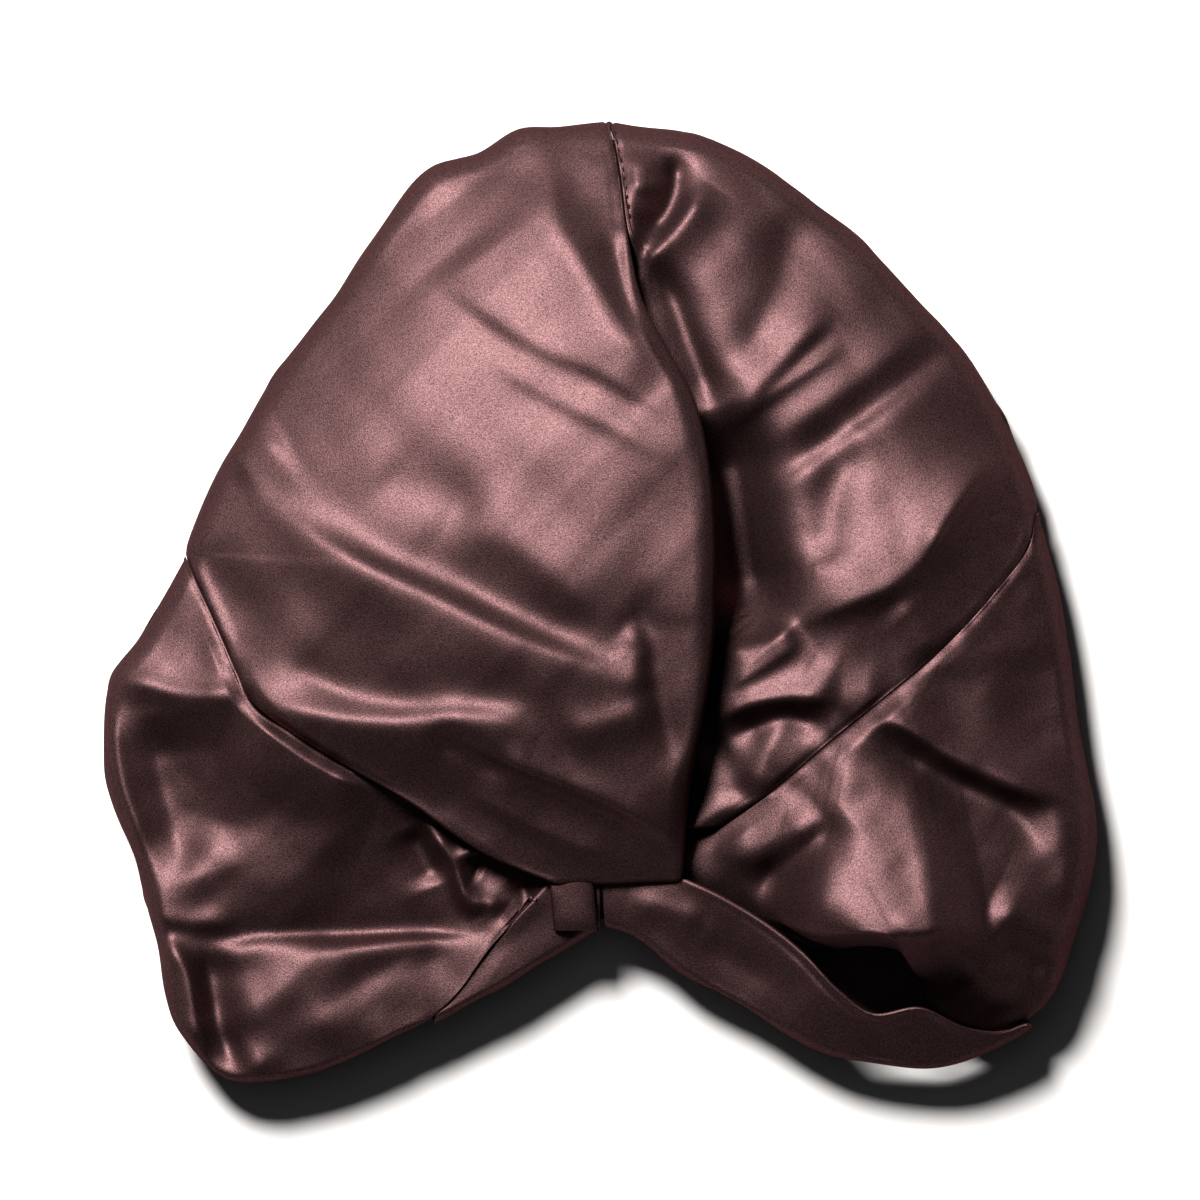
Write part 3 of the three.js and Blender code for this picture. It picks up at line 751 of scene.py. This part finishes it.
class MeshMaker:
    """Makes grid meshes with Blender's own operators."""

    FLAT_QUANTILE = 0.9

    @staticmethod
    def select(*pieces: bpy.types.Object) -> None:
        """Select these pieces alone, so that an operator works on nothing else.

        Args:
            pieces: The objects, of which the first becomes the active one.
        """
        bpy.ops.object.select_all(action="DESELECT")
        for piece in pieces:
            piece.select_set(True)
        if pieces:
            bpy.context.view_layer.objects.active = pieces[0]

    @classmethod
    def grid(cls, name: str, surface: Array) -> bpy.types.Object:
        """Add a grid and lay it over a surface.

        Args:
            name: The object's name.
            surface: Points in millimetres, as rows by columns by 3.

        Returns:
            The new object, with its faces upwards.
        """
        rows, columns = surface.shape[:2]
        cls.select()
        bpy.ops.mesh.primitive_grid_add(x_subdivisions=columns - 1, y_subdivisions=rows - 1, size=2)
        piece = bpy.context.object
        piece.name = name
        piece.data.name = name
        flat = np.empty(len(piece.data.vertices) * 3)
        piece.data.vertices.foreach_get("co", flat)
        place = flat.reshape(-1, 3)
        column = np.rint((place[:, 0] + 1) / 2 * (columns - 1)).astype(int)
        row = np.rint((place[:, 1] + 1) / 2 * (rows - 1)).astype(int)
        piece.data.vertices.foreach_set("co", (surface[row, column] * MM).ravel())
        piece.data.update()
        if sum(p.normal.z * p.area for p in piece.data.polygons) < 0:
            cls.flip(piece)
        return piece

    @classmethod
    def flip(cls, piece: bpy.types.Object) -> None:
        """Turn every face of a piece round.

        Args:
            piece: The object.
        """
        cls.select(piece)
        bpy.ops.object.mode_set(mode="EDIT")
        bpy.ops.mesh.select_all(action="SELECT")
        bpy.ops.mesh.flip_normals()
        bpy.ops.object.mode_set(mode="OBJECT")

    @classmethod
    def thicken(cls, piece: bpy.types.Object) -> None:
        """Give a sheet its wall, behind the face, and keep it clear of the surface below.

        Args:
            piece: The sheet.
        """
        cls.select(piece)
        solid = piece.modifiers.new("Wall", "SOLIDIFY")
        solid.thickness = SIZES.wall * MM
        solid.offset = -1.0
        bpy.ops.object.modifier_apply(modifier=solid.name)
        bpy.ops.object.shade_smooth()
        for vertex in piece.data.vertices:
            vertex.co.z = max(vertex.co.z, SIZES.lie_clear * MM)

    @classmethod
    def sheet(cls, name: str, surface: Array,
              material: bpy.types.Material) -> tuple[bpy.types.Object, float]:
        """Make a sheet with its wall and finish, on the part's one body.

        Args:
            name: The object's name.
            surface: Points in millimetres, as rows by columns by 3.
            material: Its finish.

        Returns:
            The object and the area of its outer face in square metres.
        """
        piece = cls.grid(name, surface)
        area = sum(p.area for p in piece.data.polygons)
        cls.thicken(piece)
        piece.data.materials.append(material)
        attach(piece, "root")
        return piece, area

    @classmethod
    def cloth(cls, name: str, surface: Array, material: bpy.types.Material) -> None:
        """Make a cloth piece in place of a CAD piece, and log the size of its flat cloth.

        Args:
            name: The CAD node that it replaces.
            surface: Points in millimetres, as rows by columns by 3.
            material: Its finish.
        """
        piece, area = cls.sheet(name + "_cloth", surface, material)
        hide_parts(name)
        spans = (np.linalg.norm(np.diff(surface, axis=a), axis=2).sum(axis=a) * MM for a in (1, 0))
        width, length = (float(np.quantile(span, cls.FLAT_QUANTILE)) for span in spans)
        LOG.info("%s: flat %.3f x %.3f m, %.4f m2", piece.name, width, length, area)


@dataclass(frozen=True)
class PanelSpec:
    """What one cloth panel is made from."""

    name: str
    rows: Rows
    folds: tuple[Fold, ...]
    along: int
    across: int
    seed: int
    reliefs: tuple[Pucker, ...] = ()
    end_roll: float = 0.0


class ClothPanel:
    """A strip of cloth lofted through its sections, with turned edges and folds."""

    SETTLE_PASSES = 160
    SETTLE_FROM, SETTLE_FULL = 8.0, 24.0
    TURN_PASSES = 16
    END_TURN = 90.0
    BROAD_LENGTH, BROAD_HEIGHT = 46.0, 0.55
    FINE_LENGTH, FINE_HEIGHT = 17.0, 0.16
    FINE_SEED = 50
    RIM_SEED, RIM_LENGTH = 7, 30.0

    def __init__(self, spec: PanelSpec, form: SharedForm) -> None:
        """Keep what the panel is made from.

        Args:
            spec: Its sections, folds and fineness.
            form: The shared form below it.
        """
        self.spec = spec
        self.form = form

    def sections(self) -> Array:
        """Sections along the panel, evenly spaced.

        Returns:
            One row of columns for each section.
        """
        table = SectionTable(self.spec.rows)
        return table.at(np.linspace(0.0, table.length, self.spec.along + 1))

    def relief(self, points: Array) -> Array:
        """Height of all folds and ripples.

        Args:
            points: Points as rows.

        Returns:
            The added height at each point.
        """
        total = np.zeros(len(points))
        for fold in self.spec.folds:
            total += fold.height_at(points)
        total += Ripple(self.spec.seed, self.BROAD_LENGTH, self.BROAD_HEIGHT).height_at(points)
        fine = Ripple(self.spec.seed + self.FINE_SEED, self.FINE_LENGTH, self.FINE_HEIGHT)
        total += fine.height_at(points)
        return total

    def surface(self) -> Array:
        """Points of the outer face.

        Returns:
            Points in millimetres, as rows by columns by 3.
        """
        rows = self.sections()
        col = {c: rows[:, c.value] for c in Column}
        start = np.stack([col[Column.IN_X], col[Column.IN_Y]], axis=1)
        end = np.stack([col[Column.OUT_X], col[Column.OUT_Y]], axis=1)
        rim = np.clip(col[Column.RIM], 0.0, 1.0)[:, None]
        _, mouth, inward = self.form.outline.nearest(end)
        for _ in range(self.TURN_PASSES):
            inward[1:-1] = (inward[:-2] + inward[1:-1] + inward[2:]) / 3
        inward /= np.linalg.norm(inward, axis=1, keepdims=True)
        wave = Ripple(self.RIM_SEED, self.RIM_LENGTH, SIZES.rim_wave).height_at(end)
        end = end + rim * inward * (SIZES.rim_wave + wave)[:, None]
        run = end - start
        length = np.linalg.norm(run, axis=1)
        toward = run / length[:, None]
        share = np.linspace(0.0, 1.0, self.spec.across + 1)
        plan = start[:, None, :] + share[None, :, None] * run[:, None, :]
        points = plan.reshape(-1, 2)
        shape = plan.shape[:2]

        lift = col[Column.IN_LIFT][:, None] * (1 - share) ** 2 + col[Column.OUT_LIFT][:, None] * share**2
        from_in = share[None, :] * length[:, None]
        from_out = (1 - share)[None, :] * length[:, None]
        out_fade = SIZES.seam_fade + rim * (SIZES.rim_fade - SIZES.seam_fade)
        fade = smooth(from_in, 0.0, SIZES.seam_fade) * smooth(from_out / out_fade, 0.0, 1.0)
        height = self.settled(self.form.height_at(points).reshape(shape), points) + lift
        height += fade * self.relief(points).reshape(shape)
        for pucker in self.spec.reliefs:
            height += pucker.height_at(points).reshape(shape)
        height -= edge_drop(from_in, col[Column.IN_ROLL][:, None])
        height -= (1 - rim) * edge_drop(from_out, col[Column.OUT_ROLL][:, None])
        if self.spec.end_roll:
            from_end = np.linalg.norm(plan - plan[-1][None], axis=2)
            height -= edge_drop(from_end, np.full(shape, self.spec.end_roll))
        top = np.concatenate([plan, height[:, :, None]], axis=2)

        rim_radius, foot = self.form.rim(mouth)
        roll = (1 - rim[:, 0]) * col[Column.OUT_ROLL]
        radius = rim[:, 0] * rim_radius + roll
        fall = rim[:, 0] * (top[:, -1, 2] - foot - SIZES.foot_clear) + roll
        turn_to = rim * inward - (1 - rim) * toward
        under_out = self._turned(top[:, -1], turn_to, radius, fall, col[Column.OUT_TURN])
        in_roll = col[Column.IN_ROLL]
        under_in = self._turned(top[:, 0], toward, in_roll, in_roll, col[Column.IN_TURN])
        face = np.concatenate([under_in[:, ::-1], top, under_out], axis=1)
        if not self.spec.end_roll:
            return face
        back = face[-3, :, :2] - face[-1, :, :2]
        back /= np.linalg.norm(back, axis=1, keepdims=True)
        width = face.shape[1]
        roll = np.full(width, self.spec.end_roll)
        end = self._turned(face[-1], back, roll, roll, np.full(width, self.END_TURN))
        return np.concatenate([face, end.transpose(1, 0, 2)], axis=0)

    def settled(self, height: Array, points: Array) -> Array:
        """Ease out the ridges of the shared form away from the panel's edges.

        Args:
            height: Heights as rows by columns.
            points: The same places as rows of points.

        Returns:
            The eased heights.
        """
        distance, _, _ = self.form.outline.nearest(points)
        weight = smooth(distance, self.SETTLE_FROM, self.SETTLE_FULL).reshape(height.shape)[1:-1, 1:-1]
        height = height.copy()
        for _ in range(self.SETTLE_PASSES):
            beside = height[:-2, 1:-1] + height[2:, 1:-1] + height[1:-1, :-2] + height[1:-1, 2:]
            height[1:-1, 1:-1] += weight * (beside / 4 - height[1:-1, 1:-1])
        return height

    @staticmethod
    def _turned(edge: Array, inward: Array, radius: Array, fall: Array, turn: Array) -> Array:
        """Points of an edge that turns under.

        Args:
            edge: Edge points, one for each section.
            inward: Direction in the plane that the edge turns to.
            radius: How far in a quarter turn goes.
            fall: How far down a quarter turn goes.
            turn: Angle of the turn in degrees.

        Returns:
            Points as sections by steps by 3, from the edge on.
        """
        steps = np.arange(1, SIZES.turn_steps + 1) / SIZES.turn_steps
        angle = np.radians(turn)[:, None] * steps[None, :]
        back = radius[:, None] * (1 - np.cos(angle))
        drop = fall[:, None] * np.sin(angle)
        plan = edge[:, None, :2] + back[:, :, None] * inward[:, None, :]
        return np.concatenate([plan, (edge[:, 2:3] - drop)[:, :, None]], axis=2)


class BackPanel:
    """A back piece that lies on the surface, between the back seam and the turned rim."""

    ALONG = 140
    ACROSS = 70
    LIE = 1.9
    SEAM_GAP = 0.2
    ENDS = (0.01, 0.99)
    WAVE = Ripple(89, 38.0, 0.5)
    WAVE_RANGE = (-0.6, 0.9)
    NUDGE = 1e-3

    def __init__(self, form: SharedForm, upper: bool) -> None:
        """Keep what the piece is made from.

        Args:
            form: The shared form, for its outline.
            upper: Whether it is the piece above the back seam.
        """
        self.form = form
        self.upper = upper

    def edge(self) -> Array:
        """The outline's stretch beside this piece, moved in to clear the turned rim.

        Returns:
            Points from the left end of the back seam to its right end.
        """
        outline = self.form.outline
        _, _, inward = outline.nearest(outline.points + self.NUDGE)
        for _ in range(outline.BLEND):
            inward = (np.roll(inward, 1, axis=0) + inward + np.roll(inward, -1, axis=0)) / 3
        side = SIZES.side_rim + SIZES.back_gap
        inset = side + outline.mouth * (SIZES.back_hem_inset - side)
        points = outline.points + inset[:, None] * inward
        left, right = outline.counts[0], len(points) - outline.counts[-1]
        if self.upper:
            return np.concatenate([points[right:], points[:left]])[::-1]
        return points[left:right]

    def surface(self) -> Array:
        """Points of the face that shows through the opening.

        Returns:
            Points in millimetres, as rows by columns by 3.
        """
        edge = self.edge()
        steps = np.linalg.norm(np.diff(edge, axis=0), axis=1)
        knots = np.concatenate([[0.0], np.cumsum(steps)])
        place = np.linspace(*self.ENDS, self.ALONG + 1)
        outer = np.stack([np.interp(place * knots[-1], knots, edge[:, axis]) for axis in (0, 1)], axis=1)
        seam = edge[0] + place[:, None] * (edge[-1] - edge[0])
        seam[:, 1] += self.SEAM_GAP if self.upper else -self.SEAM_GAP
        share = np.linspace(0.0, 1.0, self.ACROSS + 1)
        plan = seam[:, None, :] + share[None, :, None] * (outer - seam)[:, None, :]
        points = plan.reshape(-1, 2)
        height = self.LIE + np.clip(self.WAVE.height_at(points), *self.WAVE_RANGE)
        return np.concatenate([points, height[:, None]], axis=1).reshape(*plan.shape[:2], 3)


class Tab:
    """The small loop of cloth that comes out from under the twist beside the notch."""

    WIDTH = 13.5
    TOP, BOTTOM = (-8.6, -84.0), (-7.2, -99.5)
    CLEAR = 1.8
    CURL = 2.2
    POINTS = 29
    SETTLE_PASSES = 60
    FULL_SHARE = 1.3

    def __init__(self, below: Array) -> None:
        """Keep what the tab lies on.

        Args:
            below: Points of the pieces below it.
        """
        self.below = below.reshape(-1, 3)

    def surface(self) -> Array:
        """Points of its outer face.

        Returns:
            Points in millimetres, as rows by columns by 3.
        """
        down = np.linspace(0.0, 1.0, self.POINTS)[:, None]
        across = np.linspace(-1.0, 1.0, self.POINTS)[None, :]
        x = self.TOP[0] + down * (self.BOTTOM[0] - self.TOP[0]) + 0.5 * self.WIDTH * across
        y = self.TOP[1] + down * (self.BOTTOM[1] - self.TOP[1]) + 0.0 * across
        points = np.stack([x, y], axis=2).reshape(-1, 2)
        near = [np.hypot(*(self.below[:, :2] - p).T).argmin() for p in points]
        lie = self.below[near, 2].reshape(x.shape)
        lie = np.maximum(lie, np.median(lie)) + self.CLEAR
        for _ in range(self.SETTLE_PASSES):
            lie[1:-1, 1:-1] = (lie[:-2, 1:-1] + lie[2:, 1:-1] + lie[1:-1, :-2] + lie[1:-1, 2:]) / 4
        bow = self.CURL * (1 - across**2) ** 0.5 - self.CURL * down**4
        return np.stack([x, y, lie + bow], axis=2)

    def build(self, material: bpy.types.Material) -> None:
        """Make the tab.

        Args:
            material: Its finish.
        """
        piece, area = MeshMaker.sheet("notch_tab", self.surface(), material)


class Stitches:
    """The row of stitches that shows along the crown's centre seam."""

    PITCH = 2.9
    LENGTH = 1.7
    WIDTH = 0.55
    SEGMENTS, RINGS = 10, 6
    NEAR_POINTS = 6

    def __init__(self, knots: Sequence[Point], beside: Array) -> None:
        """Keep where the row runs.

        Args:
            knots: The seam seen from above.
            beside: Points of the panel that the row is sewn through.
        """
        self.path = Path(knots)
        self.beside = beside.reshape(-1, 3)

    def build(self, material: bpy.types.Material) -> None:
        """Make the row.

        Args:
            material: Its finish.
        """
        made = []
        for k in range(int(self.path.length / self.PITCH)):
            (x, y), heading = self.path.at((k + 0.5) * self.PITCH)
            near = np.hypot(self.beside[:, 0] - x, self.beside[:, 1] - y).argsort()[:self.NEAR_POINTS]
            top = self.beside[near, 2].max()
            bpy.ops.mesh.primitive_uv_sphere_add(
                segments=self.SEGMENTS, ring_count=self.RINGS, radius=0.5 * MM,
                location=(x * MM, y * MM, top * MM), rotation=(0.0, 0.0, heading),
                scale=(self.LENGTH, self.WIDTH, self.WIDTH))
            made.append(bpy.context.object)
        MeshMaker.select(*made)
        bpy.ops.object.join()
        row = bpy.context.object
        row.name = "centre_seam_stitches"
        row.data.name = row.name
        bpy.ops.object.transform_apply(location=True, rotation=True, scale=True)
        bpy.ops.object.shade_smooth()
        row.data.materials.append(material)
        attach(row, "root")
        LOG.info("%s: %d stitches", row.name, len(made))


@dataclass(frozen=True)
class SatinFinish:
    """Satin: a tinted, broad shine over a dark ground, with a fine grain."""

    name: str = "satin"
    ground: tuple[float, float, float] = (0.093, 0.054, 0.056)
    edge_tint: tuple[float, float, float, float] = (0.36, 0.33, 0.33, 1.0)
    metallic: float = 1.0
    roughness: float = 0.58
    grain_scale: float = 2600.0
    grain_depth: float = 0.00016
    grain_share: float = 0.55
    grain_detail: float = 2.0
    grain_low: float = 0.3
    grain_high: float = 0.7
    grain_strength: float = 0.5

    def material(self) -> bpy.types.Material:
        """Make the material.

        Returns:
            The satin.
        """
        made = bpy.data.materials.new(self.name)
        made.use_nodes = True
        nodes = made.node_tree.nodes
        links = made.node_tree.links
        shader = nodes["Principled BSDF"]
        shader.inputs["Metallic"].default_value = self.metallic
        shader.inputs["Roughness"].default_value = self.roughness
        shader.inputs["Specular Tint"].default_value = self.edge_tint
        place = nodes.new("ShaderNodeTexCoord")
        grain = nodes.new("ShaderNodeTexNoise")
        grain.inputs["Scale"].default_value = self.grain_scale
        grain.inputs["Detail"].default_value = self.grain_detail
        tone = nodes.new("ShaderNodeMapRange")
        tone.inputs["From Min"].default_value = self.grain_low
        tone.inputs["From Max"].default_value = self.grain_high
        tone.inputs["To Min"].default_value = 1.0 - self.grain_share
        tone.inputs["To Max"].default_value = 1.0 + self.grain_share
        tint = nodes.new("ShaderNodeVectorMath")
        tint.operation = "SCALE"
        tint.inputs[0].default_value = self.ground
        bump = nodes.new("ShaderNodeBump")
        bump.inputs["Strength"].default_value = self.grain_strength
        bump.inputs["Distance"].default_value = self.grain_depth
        links.new(place.outputs["Object"], grain.inputs["Vector"])
        links.new(grain.outputs["Fac"], tone.inputs["Value"])
        links.new(tone.outputs["Result"], tint.inputs["Scale"])
        links.new(tint.outputs["Vector"], shader.inputs["Base Color"])
        links.new(grain.outputs["Fac"], bump.inputs["Height"])
        links.new(bump.outputs["Normal"], shader.inputs["Normal"])
        return made


class Studio:
    """The pale surface, the lights and the camera."""

    FRAME_WIDTH = 0.360
    CAMERA_HEIGHT = 2.2
    MID_HEIGHT = 0.035
    SENSOR = 36.0
    FLOOR_SIZE = 6.0
    FLOOR_TONE = (0.62, 0.62, 0.62, 1.0)
    FLOOR_ROUGHNESS = 0.9
    SKY_TONE = (0.9, 0.95, 1.0, 1.0)
    SKY_STRENGTH = 0.008
    LIGHTS = (
        ("Key", (-0.52, 0.94, 1.46), 0.50, 86.0, (1.0, 0.965, 0.94)),
        ("Fill", (-0.10, 0.20, 2.00), 1.60, 1.5, (0.97, 0.98, 1.0)),
    )

    def build(self) -> None:
        """Set the stage."""
        self._floor()
        self._world()
        for light in self.LIGHTS:
            self._light(*light)
        self._camera()

    def _floor(self) -> None:
        """Add the surface that the bonnet lies on."""
        MeshMaker.select()
        bpy.ops.mesh.primitive_plane_add(size=self.FLOOR_SIZE, location=(0.0, 0.0, 0.0))
        floor = bpy.context.object
        floor.name = "surface"
        paint = bpy.data.materials.new("pale_surface")
        paint.use_nodes = True
        shader = paint.node_tree.nodes["Principled BSDF"]
        shader.inputs["Base Color"].default_value = self.FLOOR_TONE
        shader.inputs["Roughness"].default_value = self.FLOOR_ROUGHNESS
        floor.data.materials.append(paint)

    def _world(self) -> None:
        """Set a dim, even surround."""
        world = bpy.data.worlds.new("surround")
        bpy.context.scene.world = world
        world.use_nodes = True
        sky = world.node_tree.nodes["Background"]
        sky.inputs["Color"].default_value = self.SKY_TONE
        sky.inputs["Strength"].default_value = self.SKY_STRENGTH
        bpy.context.scene.view_settings.view_transform = "Standard"
        bpy.context.scene.view_settings.look = "Medium High Contrast"

    @staticmethod
    def _light(name: str, place: tuple[float, float, float], size: float, power: float,
               colour: tuple[float, float, float]) -> None:
        """Add an area light that points at the bonnet.

        Args:
            name: Its name.
            place: Where it is.
            size: Its width.
            power: Its power in watts.
            colour: Its colour.
        """
        bpy.ops.object.light_add(type="AREA", location=place)
        lamp = bpy.context.object
        lamp.name = name
        lamp.data.shape = "DISK"
        lamp.data.size = size
        lamp.data.energy = power
        lamp.data.color = colour
        x, y, z = place
        lamp.rotation_euler = (math.atan2(math.hypot(x, y), z), 0.0, math.atan2(x, -y))

    def _camera(self) -> None:
        """Look straight down, as the photo does."""
        bpy.ops.object.camera_add(location=(0.0, 0.0, self.CAMERA_HEIGHT), rotation=(0.0, 0.0, 0.0))
        camera = bpy.context.object
        camera.name = "Camera"
        camera.data.sensor_width = self.SENSOR
        camera.data.lens = self.SENSOR * (self.CAMERA_HEIGHT - self.MID_HEIGHT) / self.FRAME_WIDTH
        bpy.context.scene.camera = camera


class Bonnet:
    """The whole bonnet."""

    THREAD = SatinFinish("thread", (0.035, 0.02, 0.02), roughness=0.7)

    def __init__(self) -> None:
        """Set out the pieces on their shared form."""
        self.form = SharedForm(Outline())
        centre = Pucker(CENTRE_SEAM, period=7.0, height=0.5, reach=5.0)
        left = Pucker(LEFT_SEAM, period=9.0, height=0.5, reach=5.0)
        right = Pucker(RIGHT_SEAM, period=9.0, height=0.6, reach=5.0)
        self.panels = (
            PanelSpec("crown_left", CROWN_LEFT_ROWS, CROWN_LEFT_FOLDS, 200, 150, 3, (centre, left), 4.0),
            PanelSpec("crown_right", CROWN_RIGHT_ROWS, CROWN_RIGHT_FOLDS, 200, 130, 5, (centre, right)),
            PanelSpec("band_left", BAND_LEFT_ROWS, BAND_LEFT_FOLDS, 180, 120, 8, (left,)),
            PanelSpec("band_right", BAND_RIGHT_ROWS, BAND_RIGHT_FOLDS, 180, 120, 13, (right,)),
            PanelSpec("hem_right", HEM_RIGHT_ROWS, HEM_RIGHT_FOLDS, 160, 40, 21),
            PanelSpec("hem_left", HEM_LEFT_ROWS, (), 80, 40, 34),
        )

    def build(self) -> None:
        """Make every piece."""
        satin = SatinFinish().material()
        faces: dict[str, Array] = {}
        for spec in self.panels:
            faces[spec.name] = ClothPanel(spec, self.form).surface()
        for name, upper in (("crown_back", True), ("band_back", False)):
            faces[name] = BackPanel(self.form, upper).surface()
        for name, face in faces.items():
            MeshMaker.cloth(name, face, satin)
        hems = [faces[name].reshape(-1, 3) for name in ("hem_right", "hem_left")]
        Tab(np.concatenate(hems)).build(satin)
        Stitches(CENTRE_STITCHES, faces["crown_right"]).build(self.THREAD.material())


def main() -> None:
    """Build the bonnet and its stage, logging each cloth piece's flat size as it is made."""
    logging.basicConfig(level=logging.INFO, format="%(name)s: %(message)s")
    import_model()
    Bonnet().build()
    Studio().build()


if __name__ == "__main__":
    main()
